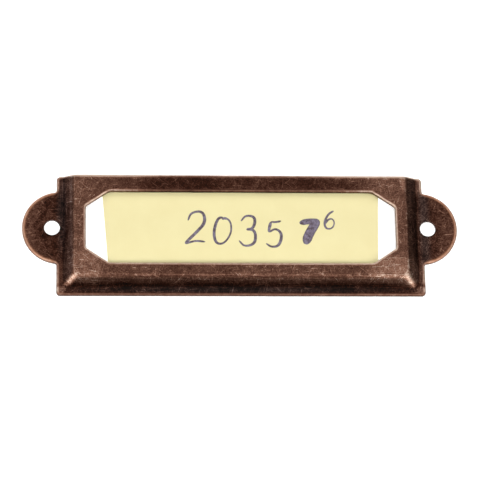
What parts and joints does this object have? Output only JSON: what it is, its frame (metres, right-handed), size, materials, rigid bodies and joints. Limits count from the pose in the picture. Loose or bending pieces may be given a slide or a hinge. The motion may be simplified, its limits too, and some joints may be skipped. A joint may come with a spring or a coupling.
{
  "type": "label frame",
  "caption": "Pressed sheet-metal label frame for a drawer front: raised panel with a cut-corner window, open top edge, round screw ears and a slide-in paper card.",
  "frame": {"origin": "midway between the two screw holes, on the mounting plane", "axes": "+X along the length, +Y towards the open top edge, +Z out of the front"},
  "size_m": [0.11, 0.0312, 0.0027],
  "materials": {
    "frame_metal": "antique copper plating, dark brown in the flats and rubbed to copper along the edges",
    "card_paper": "plain matt paper, pale yellow"
  },
  "bodies": {
    "root": {"label_frame": "frame_metal", "label_card": "card_paper"}
  },
  "joints": []
}
